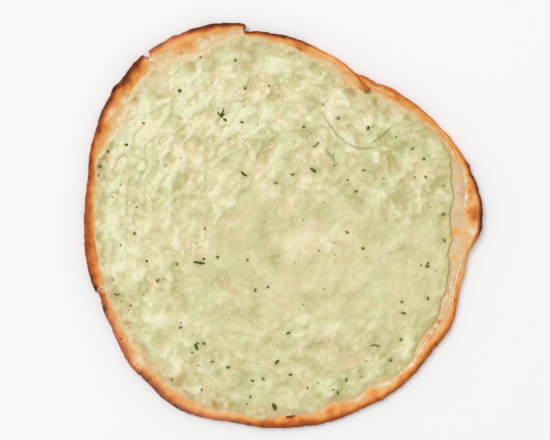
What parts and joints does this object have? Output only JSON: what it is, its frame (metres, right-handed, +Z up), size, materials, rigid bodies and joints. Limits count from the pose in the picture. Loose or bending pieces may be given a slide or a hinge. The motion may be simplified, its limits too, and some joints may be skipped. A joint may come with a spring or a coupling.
{
  "type": "cheese manakish flatbread",
  "caption": "Thin round flatbread baked with a melted white cheese layer and chopped green herbs, with a browned crust; served whole and flat.",
  "frame": {"origin": "on the table under the middle of the bread's bounding box, at the flat underside", "axes": "+Z up out of the cheese side; +Y towards the far edge with the torn crust; +X towards the puffed ear of bare crust"},
  "size_m": [0.2806, 0.284, 0.0091],
  "materials": {
    "baked_dough": "matt baked wheat dough, pale by the cheese, golden on the crest and dark brown on the outer edge",
    "melted_cheese": "satin, moist melted white cheese with a green cast, softly lumpy",
    "chopped_herb": "dark green, slightly waxy cooked leaf"
  },
  "bodies": {
    "root": {"flatbread": "baked_dough", "cheese_topping": "melted_cheese", "herb_leaf_01": "chopped_herb", "herb_leaf_02": "chopped_herb", "herb_leaf_03": "chopped_herb", "herb_leaf_04": "chopped_herb", "herb_leaf_05": "chopped_herb", "herb_leaf_06": "chopped_herb", "herb_leaf_07": "chopped_herb", "herb_leaf_08": "chopped_herb", "herb_leaf_09": "chopped_herb", "herb_leaf_10": "chopped_herb", "herb_leaf_11": "chopped_herb", "herb_leaf_12": "chopped_herb", "herb_leaf_13": "chopped_herb", "herb_leaf_14": "chopped_herb", "herb_leaf_15": "chopped_herb", "herb_leaf_16": "chopped_herb", "herb_leaf_17": "chopped_herb", "herb_leaf_18": "chopped_herb", "herb_leaf_19": "chopped_herb", "herb_leaf_20": "chopped_herb", "herb_leaf_21": "chopped_herb", "herb_leaf_22": "chopped_herb", "herb_leaf_23": "chopped_herb", "herb_leaf_24": "chopped_herb", "herb_leaf_25": "chopped_herb", "herb_leaf_26": "chopped_herb", "herb_leaf_27": "chopped_herb", "herb_leaf_28": "chopped_herb", "herb_leaf_29": "chopped_herb", "herb_leaf_30": "chopped_herb", "herb_leaf_31": "chopped_herb", "herb_leaf_32": "chopped_herb", "herb_leaf_33": "chopped_herb", "herb_leaf_34": "chopped_herb", "herb_leaf_35": "chopped_herb", "herb_leaf_36": "chopped_herb", "herb_leaf_37": "chopped_herb", "herb_leaf_38": "chopped_herb", "herb_leaf_39": "chopped_herb", "herb_leaf_40": "chopped_herb", "herb_leaf_41": "chopped_herb", "herb_leaf_42": "chopped_herb", "herb_leaf_43": "chopped_herb", "herb_leaf_44": "chopped_herb", "herb_leaf_45": "chopped_herb", "herb_leaf_46": "chopped_herb", "herb_leaf_47": "chopped_herb", "herb_leaf_48": "chopped_herb", "herb_leaf_49": "chopped_herb", "herb_leaf_50": "chopped_herb", "herb_leaf_51": "chopped_herb", "herb_leaf_52": "chopped_herb", "herb_leaf_53": "chopped_herb"}
  },
  "joints": []
}
